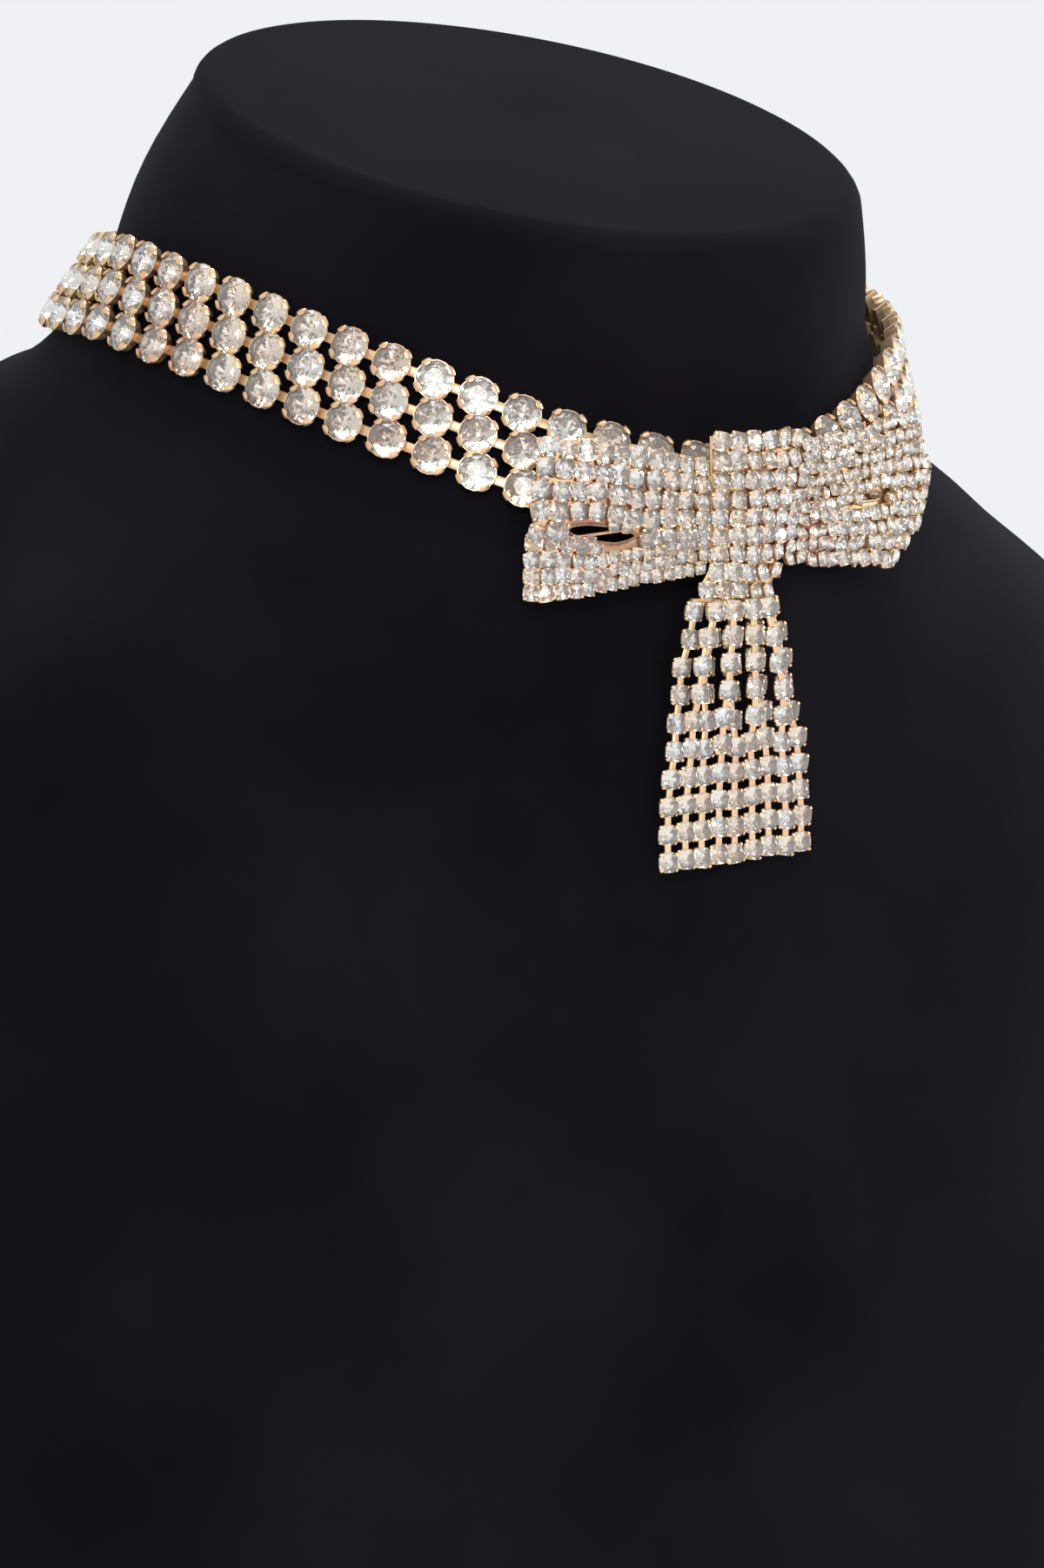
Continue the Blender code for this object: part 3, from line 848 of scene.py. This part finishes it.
def armStones(look):
    sections, height = look["sections"], bow["height"]
    slitStart, slitEnd = look["slit"]
    spots = []
    for edgeColumn, slitColumn, rows in ((1, 2, look["upperRows"]), (4, 3, look["lowerRows"])):
        count, inHeight, first = rows
        for row in range(count):

            def reachOf(share):
                edge = straightValue(sections, edgeColumn, share)
                return edge, straightValue(sections, slitColumn, share) - edge

            def sizeAt(share):
                size = abs(reachOf(share)[1]) * height / inHeight / bow["stonePitch"]
                return min(max(size, look["smallest"]), bow["largest"])

            def levelAt(share):
                edge, reach = reachOf(share)
                step = max(abs(reach) / inHeight, look["smallest"] * bow["stonePitch"] / height)
                return edge + math.copysign(step * (row + first), reach)

            for share in stoneRow(look, levelAt, sizeAt):
                level = levelAt(share)
                top, low = slitEdges(look, share)
                isSlit = slitStart - bow["slitEnds"] < share < slitEnd + bow["slitEnds"]
                clear = bow["slitMargin"] / height if isSlit else -1.0
                if top - clear < level < low + clear:
                    continue
                spots.append((share, level, sizeAt(share) * bow["crowding"]))
    for share, level in look.get("slitStones", ()):  # these stand past the slit's edges
        spots.append((share, level, look["smallest"] * bow["crowding"]))
    return spots


def smallField(name, frames, extra, node, disorder):  # small stones at the given frames
    stones, settings, tones = [], [], []
    for place, along, out, size in frames:
        tilt = looseTilt(bow["tiltDegrees"] * disorder)
        slip = bow["looseness"] * disorder
        place = place + along * randomTilt.uniform(-slip, slip)
        place = place + out.cross(along) * randomTilt.uniform(-slip, slip)
        size *= 1 + randomTilt.uniform(-1, 1) * bow["sizeSpread"]
        settings.append(frameMatrix(place, along, out, size, tilt))
        stones.append(frameMatrix(place, along, out, size * bow["stoneRadius"], tilt))
        tones.append(randomTilt.random())
    cups = copies(name + "Cups", smallSettingModel, settings)
    finishField(name, [cups] + extra, smallStoneModel, stones, tones, node)


def thickenPlate(plate):
    applyModifier(plate, "SOLIDIFY", thickness=bow["plateThick"], offset=-1.0)
    applyModifier(plate, "BEVEL", width=bow["plateBevel"], segments=2, limit_method="ANGLE")
    plate.data.materials.append(shadedGold)


def makeLoop(name, look, node):
    sections = look["sections"]
    columns, rows = bow["grid"]
    slitRows = bow["slitRows"]

    def shareAt(i):
        return i / columns if look["side"] > 0 else 1 - i / columns

    def place(i, j):
        share = min(shareAt(i), 1 - bow["plateInset"] / bow["plateWidth"])
        slitTop, slitLow = slitEdges(look, share)
        top = straightValue(sections, 1, share) + bow["plateInset"] / bow["height"]
        low = straightValue(sections, 4, share) - bow["plateInset"] / bow["height"]
        if j <= slitRows[0]:
            level = top + (slitTop - top) * j / slitRows[0]
        else:
            level = slitLow + (low - slitLow) * (j - slitRows[1]) / (rows - slitRows[1])
        return armPoint(look, share, level, bow["plateFront"])

    def isSlit(i, j):
        start, end = look["slit"]
        return slitRows[0] < j < slitRows[1] and start < shareAt(i) < end

    plate = wrappedGrid(name + "Plate", columns, rows, place, isSlit)
    thickenPlate(plate)
    extra = [plate]
    start, end = look["slit"]
    steps = bow["slitSteps"]
    shares = [start + (end - start) * k / steps for k in range(steps + 1)]
    for index in range(2):
        points = [armPoint(look, s, slitEdges(look, s)[index], bow["plateFront"]) for s in shares]
        extra.append(wire(name + "Slit" + str(index), points, bow["rimRadius"], shadedGold))
    if "crossWire" in look:
        outward = bow["plateFront"] + bow["wireRaise"]
        ends = [armPoint(look, *spot, outward) for spot in look["crossWire"]]
        steps = bow["wireSteps"]
        points = [ends[0].lerp(ends[1], k / steps) for k in range(steps + 1)]
        extra.append(wire(name + "CrossWire", points, bow["rimRadius"], gold))
    frames = [
        (*armFrame(look, share, level, bow["girdleLevel"]), size)
        for share, level, size in armStones(look)
    ]
    smallField(name, frames, extra, node, look["disorder"])


def knotPlace(share, level):
    drop = bow["height"] * level
    left, right = knotEdge(-1, drop), knotEdge(1, drop)
    tail = max(0.0, (level - knot["tailLevel"]) / (1 - knot["tailLevel"]))
    slant = knot["tailSlant"] * share * tail
    return left + (right - left) * share, drop + slant


def knotPoint(share, level, outward=0.0):
    reach, drop = knotPlace(share, level)
    dome = 1.0 - (2.0 * share - 1.0) ** 2
    return bowPoint(reach, drop, outward + knot["proud"] * dome)


def bandFrontBehind(point):
    turn = math.atan2(point.x, loop["setBack"] + bustShift - point.y)
    across = 0.0
    for _ in range(knot["searchRounds"]):
        place = loopPoint(turn, across, knot["bandFront"])
        across += place.z - point.z
        turn += (point.x - place.x) / loop["radius"]
    return Vector((point.x, loopPoint(turn, across, knot["bandFront"]).y, point.z))


def makeKnot():
    columns, rows = knot["grid"]

    def front(i, j):
        inset = bow["plateInset"] / bow["height"]
        start, width = knot["plateShare"]
        level = inset + (1 - 2 * inset) * j / rows
        return knotPoint(start + width * i / columns, level, bow["plateFront"])

    plate = wrappedGrid("knotPlate", columns, rows, front)
    thickenPlate(plate)
    left, right, up, down = knot["carrier"]
    outward = bow["plateFront"] - bow["plateThick"] * 0.5
    corners = [(left, up), (right, up), (right, down), (left, down)]
    fronts = [knotPoint(share, level, outward) for share, level in corners]
    backs = [bandFrontBehind(point) for point in fronts]
    bpy.ops.mesh.primitive_cube_add(size=1)
    post = nameNew("knotPost")
    for vertex in post.data.vertices:
        isRight, isDeep, isUp = (value > 0 for value in vertex.co)
        corner = (1 if isRight else 0) if isUp else (2 if isRight else 3)
        vertex.co = (backs if isDeep else fronts)[corner]
    applyModifier(post, "BEVEL", width=knot["carrierBevel"], segments=3)
    post.data.materials.append(gold)
    start, length = knot["edgeLevels"]
    levels = [start + length * k / knot["edgeSteps"] for k in range(knot["edgeSteps"] + 1)]
    edge = [knotPoint(0.0, level, knot["edgeOutward"]) for level in levels]
    extra = [plate, post, wire("knotEdge", edge, bow["rimRadius"], gold)]
    frames, step = [], 0.02
    for row in range(knot["rows"]):
        t = row / (knot["rows"] - 1)
        spread = (1 + knot["closing"] - knot["closing"] * t) * t
        level = knot["firstLevel"] + knot["rowsReach"] * spread
        width = (knotPoint(1, level) - knotPoint(0, level)).length
        size = knot["topSize"] if row < knot["tailRow"] else knot["tailSize"]
        count = round(width / (knot["stonePitch"] * size))
        size *= knot["crowding"]
        for k in range(count):
            share = (k + 0.5) / count
            place = knotPoint(share, level, bow["girdleLevel"])
            along = knotPoint(share + step, level) - knotPoint(share - step, level)
            down = knotPoint(share, level + step) - knotPoint(share, level - step)
            along, down = along.normalized(), down.normalized()
            frames.append((place, along, down.cross(along).normalized(), size))
    smallField("knot", frames, extra, "bow_knot", knot["disorder"])


makeLoop("bow_left", leftLoop, "bow_loop_left")
makeLoop("bow_right", rightLoop, "bow_loop_right")
makeKnot()


# Fringe under the tail

fringe = {
    "strands": 9,
    "rows": 10,
    "rowPitch": 3.6 * mm,
    "topPitch": 1.5 * mm,
    "lowPitch": 2.75 * mm,
    "layer": 1.0 * mm,
    "partedRow": 5,
    "start": 1.9 * mm,
    "shift": -0.3 * mm,
    "rightRise": 0.03,
    "headBar": 0.7 * mm,
    "barThick": 0.9 * mm,
    "barBevel": 0.15 * mm,
    "barShorter": 0.6 * mm,
    "barDrop": 0.4 * mm,
    "barBack": 0.6 * mm,
    "headReach": 0.6 * mm,
    "linkWidth": 0.86 * mm,
    "linkThick": 0.42 * mm,
    "linkBevel": 0.12 * mm,
    "linkShortest": 0.1 * mm,
    "linkLevel": -0.4 * mm,
    "cupReach": 1.2 * mm,
    "size": 1.16,
    "facing": -17.0,
    "turnDegrees": 10.0,
    "sway": 0.38 * mm,
    "slip": 0.42 * mm,
    "lowLoose": 0.4,
}


def strandPlace(strand, row):
    last = fringe["rows"] - 1
    share = max(row, 0) / last
    spread = fringe["lowPitch"] - fringe["topPitch"]
    pitch = fringe["topPitch"] + spread * (1 - (1 - share) ** 2)
    middle = (knotEdge(-1, bow["height"]) + knotEdge(1, bow["height"])) / 2
    aside = (strand - (fringe["strands"] - 1) / 2) * pitch + fringe["shift"] * share
    layer = fringe["layer"] * min(1.0, max(0.1, (fringe["partedRow"] - row) / 2))
    layer *= 1 if strand % 2 else -1
    head = bowPoint(middle, bow["height"])
    acrossShare = strand / (fringe["strands"] - 1)
    drop = max(row, 0) * fringe["rowPitch"] * (1 - fringe["rightRise"] * acrossShare)
    drop += fringe["start"]
    return Vector((head.x + aside, head.y - layer - fringe["layer"] / 2, head.z - drop))


def makeFringe():
    facing = math.radians(fringe["facing"])
    right = Vector((math.cos(facing), math.sin(facing), 0))
    forward = Vector((math.sin(facing), -math.cos(facing), 0))
    stones, settings, links, tones = [], [], [], []
    for strand in range(fringe["strands"]):
        places, slip = [], 0
        if 0 < strand < fringe["strands"] - 1:
            slip = randomTilt.uniform(-1, 1) * fringe["slip"]
        for row in range(fringe["rows"]):
            loose = 1.0 if row < fringe["partedRow"] + 1 else fringe["lowLoose"]
            swing = randomTilt.uniform(-1, 1) * fringe["sway"] * loose
            drop = slip * loose * min(row, 1)
            places.append(strandPlace(strand, row) + Vector((swing, 0, drop)))
        head = places[0] + Vector((0, 0, fringe["start"] - fringe["headReach"]))
        for before, after in zip([head] + places, places):
            along = (after - before).normalized()
            start = before if before is head else before + along * fringe["cupReach"]
            end = after - along * fringe["cupReach"]
            middle = (start + end) / 2 + forward * fringe["linkLevel"]
            out = (forward - along * forward.dot(along)).normalized()
            length = (end - start).dot(along)
            if length > fringe["linkShortest"]:
                links.append(stretched(frameMatrix(middle, -along, out), length))
        radius = fringe["size"] * bow["stoneRadius"]
        for place in places:
            tilt = looseTilt(fringe["turnDegrees"])
            settings.append(frameMatrix(place, right, forward, fringe["size"], tilt))
            stones.append(frameMatrix(place, right, forward, radius, tilt))
            tones.append(randomTilt.random())
    sizes = [fringe[key] for key in ("linkWidth", "linkThick", "linkBevel")]
    link = roundedBar("strandLink", 1.0, *sizes)
    width = fringe["topPitch"] * fringe["strands"] - fringe["barShorter"]
    bar = roundedBar("headBar", width, fringe["headBar"], fringe["barThick"], fringe["barBevel"])
    headMiddle = (strandPlace(0, -1) + strandPlace(fringe["strands"] - 1, -1)) / 2
    headMiddle.z += fringe["start"] - bow["gap"] - fringe["headBar"] / 2 - fringe["barDrop"]
    slant = math.atan(knot["tailSlant"] / width)
    along = Vector((math.cos(slant), 0, -math.sin(slant)))
    straight = Vector((0, -1, 0))  # the bar looks straight ahead, while the strands turn aside
    barPlace = frameMatrix(headMiddle - straight * fringe["barBack"], along, straight)
    barCopy = copies("fringeHead", bar, [barPlace])
    metal = [
        copies("fringeCups", smallSettingModel, settings),
        copies("fringeLinks", link, links),
        barCopy,
    ]
    removeModels(link, bar)
    finishField("fringe", metal, smallStoneModel, stones, tones, "fringe")


makeFringe()
removeModels(bigStoneModel, smallStoneModel, bigSettingModel, smallSettingModel)


# Neck bust

bust = {
    "sides": 144,
    "neckRadius": 46.2 * mm,
    "neckBack": 3.7 * mm,
    "neckRise": 43.4 * mm,
    "neckSlope": 0.31,
    "rimRound": 3.0 * mm,
    "swell": 1.8 * mm,
    "width": 224.0 * mm,
    "front": 66.0 * mm,
    "back": 92.0 * mm,
    "baseRound": 3.0 * mm,
    "clear": 2.2 * mm,
    "bandTop": 3.65 * mm,
    "bandLow": 12.75 * mm,
    # height of the front and of the back, half width, reach of the front and of the back
    "rings": (
        (0.893, 1.043, 0.68, 0.79, 0.957),
        (0.783, 0.903, 0.94, 0.80, 1.0),
        (0.574, 0.62, 1.0, 0.92, 1.0),
        (0.324, 0.324, 0.965, 1.0, 0.957),
        (0.065, 0.065, 0.86, 0.93, 0.88),
    ),
    "steps": 8,
    "rimSteps": 6,
    "wallSteps": 8,
    "bandSteps": 4,
    "baseSteps": 4,
    "weld": 0.01 * mm,
    "shadeAngle": 50,
}


def bustRing(turn, ring):
    frontHeight, backHeight, halfWidth, front, back = ring
    share = (1 - math.cos(turn)) / 2
    height = loop["height"] * (frontHeight + (backHeight - frontHeight) * share)
    depth = (bust["front"] * front + bust["back"] * back) / 2
    x = bust["width"] / 2 * halfWidth * math.sin(turn)
    y = bust["back"] * back - depth - depth * math.cos(turn) + bustShift
    return Vector((x, y, height))


def curveThrough(points):
    made = []
    for index in range(1, len(points) - 2):
        before, start, end, after = points[index - 1:index + 3]
        for step in range(bust["steps"]):
            t = step / bust["steps"]
            first = 2 * start + (end - before) * t
            second = (2 * before - 5 * start + 4 * end - after) * t**2
            third = (3 * start - before - 3 * end + after) * t**3
            made.append((first + second + third) * 0.5)
    return made + [points[-2]]


def bustProfile(turn):
    rise = loop["height"] + bust["neckRise"]
    axisY = loop["setBack"] + bustShift

    def top(radius, lower):
        x = radius * math.sin(turn)
        y = -radius * math.cos(turn)
        return Vector((x, bust["neckBack"] + bustShift + y, rise + bust["neckSlope"] * y - lower))

    points = []
    for step in range(bust["rimSteps"] + 1):
        angle = math.radians(90 * step / bust["rimSteps"])
        inset = bust["rimRound"] * (1 - math.sin(angle))
        lower = bust["rimRound"] * (1 - math.cos(angle))
        points.append(top(bust["neckRadius"] - inset, lower))
    rim = points[-1]
    bandTop = loopPoint(turn, -bust["bandTop"], -bust["clear"], snug=True)
    wallSteps = bust["wallSteps"]
    for step in range(1, wallSteps):
        wall = rim.lerp(bandTop, step / wallSteps)
        outwards = Vector((wall.x, wall.y - axisY, 0)).normalized()
        swell = math.sin(math.pi * step / wallSteps) * (1 - math.cos(turn)) / 2
        points.append(wall + outwards * bust["swell"] * swell)
    for step in range(bust["bandSteps"]):
        share = step / bust["bandSteps"]
        across = -bust["bandTop"] + (bust["bandTop"] + bust["bandLow"]) * share
        points.append(loopPoint(turn, across, -bust["clear"], snug=True))
    low = loopPoint(turn, bust["bandLow"], -bust["clear"], snug=True)
    rings = [bustRing(turn, ring) for ring in bust["rings"]]
    lead = low + (low - points[-1]).normalized() * (rings[0] - low).length
    points += curveThrough([low * 2 - lead, low] + rings + [rings[-1]])
    base = points[-1]
    inward = Vector((base.x, base.y - axisY, 0)).normalized() * bust["baseRound"]
    for step in range(bust["baseSteps"] + 1):
        angle = math.radians(90 * step / bust["baseSteps"])
        height = bust["baseRound"] * (1 - math.sin(angle))
        points.append(Vector((base.x, base.y, height)) - inward * (1 - math.cos(angle)))
    return points


def makeBust():
    sides = bust["sides"]
    profiles = [bustProfile(2 * math.pi * side / sides - math.pi) for side in range(sides)]
    levels = len(profiles[0]) - 1

    def place(i, j):
        return profiles[round(i) % sides][round(j)]

    body = wrappedGrid("bust_velvet", sides, levels, place)
    setMode("EDIT")
    bpy.ops.mesh.select_all(action="SELECT")
    bpy.ops.mesh.remove_doubles(threshold=bust["weld"])
    bpy.ops.mesh.fill_holes(sides=0)
    bpy.ops.mesh.select_all(action="SELECT")
    bpy.ops.mesh.normals_make_consistent()
    setMode("OBJECT")
    body.data.materials.append(velvet)
    shadeRound(body, bust["shadeAngle"])
    dress(body, "black_velvet", "neck_bust")
    print("bust:", len(body.data.polygons), "faces")


makeBust()


# Floor, light and camera

studio = {
    "background": (0.866, 0.876, 0.905),
    "floor": (0.80, 0.81, 0.83),
    "floorRadius": 1.2,
    "aim": Vector((0, -0.06, 0.2)),
    "card": (0.02, 0.02, 0.022),
    # place, width and height
    "cards": (
        ((-0.15, -1.3, 0.75), 0.28, 0.5),
        ((0.25, -1.15, 0.3), 0.10, 0.5),
        ((1.05, -0.35, 0.3), 0.16, 0.5),
        ((-1.05, -0.55, 0.95), 0.25, 0.4),
    ),
    # place, size, watts and colour
    "lights": {
        "keySoftbox": ((-0.7, -0.9, 0.75), (0.45, 0.45), 6.0, (1.0, 0.98, 0.95)),
        "fillStrip": ((0.75, -0.55, 0.45), (0.12, 0.8), 4.0, (1.0, 0.97, 0.94)),
        "topSoftbox": ((0.1, 0.1, 1.05), (0.6, 0.35), 5.0, (1.0, 1.0, 1.0)),
        "smallSpark": ((-0.25, -1.1, 0.35), (0.06, 0.06), 1.2, (1.0, 1.0, 1.0)),
    },
}
photoCamera = {
    "azimuth": -35.77,
    "elevation": 3.62,
    "distance": 921.04 * mm,
    "height": 215 * mm,
    "sensor": 36,
    "nearest": 10 * mm,
    # all in the photo's pixels
    "perMm": 8.338,
    "centre": (623.85, 382.18),
    "size": (1200, 1802),
}


def plainMaterial(name, colour, roughness):
    return newMaterial(name, {"Base Color": (*colour, 1), "Roughness": roughness})[0]


def makeStudio():
    world = bpy.context.scene.world or bpy.data.worlds.new("studio")
    bpy.context.scene.world = world
    world.use_nodes = True
    background = world.node_tree.nodes["Background"]
    background.inputs["Color"].default_value = (*studio["background"], 1)
    background.inputs["Strength"].default_value = 1.0
    bpy.ops.mesh.primitive_circle_add(vertices=96, radius=studio["floorRadius"], fill_type="NGON")
    floor = bpy.context.object
    floor.name = "studio_floor"
    floor.data.materials.append(plainMaterial("palePaper", studio["floor"], 0.8))
    # dark cards that only the stones and the metal mirror
    card = plainMaterial("darkCard", studio["card"], 1.0)
    for index, (place, width, height) in enumerate(studio["cards"]):
        bpy.ops.mesh.primitive_plane_add(size=1, location=place)
        plane = bpy.context.object
        plane.name = "dark_card_" + str(index)
        plane.scale = (width, height, 1)
        plane.rotation_euler = (studio["aim"] - Vector(place)).to_track_quat("Z", "Y").to_euler()
        plane.data.materials.append(card)
        plane.visible_camera = False
        plane.visible_diffuse = False
        plane.visible_shadow = False


def addLight(name, place, size, power, colour):
    light = bpy.data.lights.new(name, "AREA")
    light.shape = "RECTANGLE"
    light.size, light.size_y = size
    light.energy = power
    light.color = colour
    lamp = addObject(name, light)
    lamp.location = place
    lamp.rotation_euler = (Vector(place) - studio["aim"]).to_track_quat("Z", "Y").to_euler()
    lamp.visible_camera = False


def makeCamera():
    look, distance = photoCamera, photoCamera["distance"]
    azimuth, elevation = math.radians(look["azimuth"]), math.radians(look["elevation"])
    (centreX, centreY), (wide, high) = look["centre"], look["size"]
    target = Vector((0, bustShift, look["height"]))
    back = Vector((
        math.sin(azimuth) * math.cos(elevation),
        -math.cos(azimuth) * math.cos(elevation),
        math.sin(elevation),
    ))
    right = Vector((math.cos(azimuth), math.sin(azimuth), 0))
    turned = Matrix((right, back.cross(right), back)).transposed().to_4x4()
    camera = bpy.data.cameras.new("photoCamera")
    camera.sensor_width = look["sensor"]
    camera.lens = look["perMm"] * distance / mm / high * look["sensor"]
    camera.shift_x = (wide / 2 - centreX) / high
    camera.shift_y = (centreY - high / 2) / high
    camera.clip_start = look["nearest"]
    holder = addObject("photoCamera", camera)
    holder.matrix_world = Matrix.Translation(target + back * distance) @ turned
    bpy.context.scene.camera = holder


makeStudio()
for lightName, lightFacts in studio["lights"].items():
    addLight(lightName, *lightFacts)
makeCamera()
bpy.context.scene.view_settings.view_transform = "Standard"
print("studio and camera set")

bpy.context.view_layer.update()
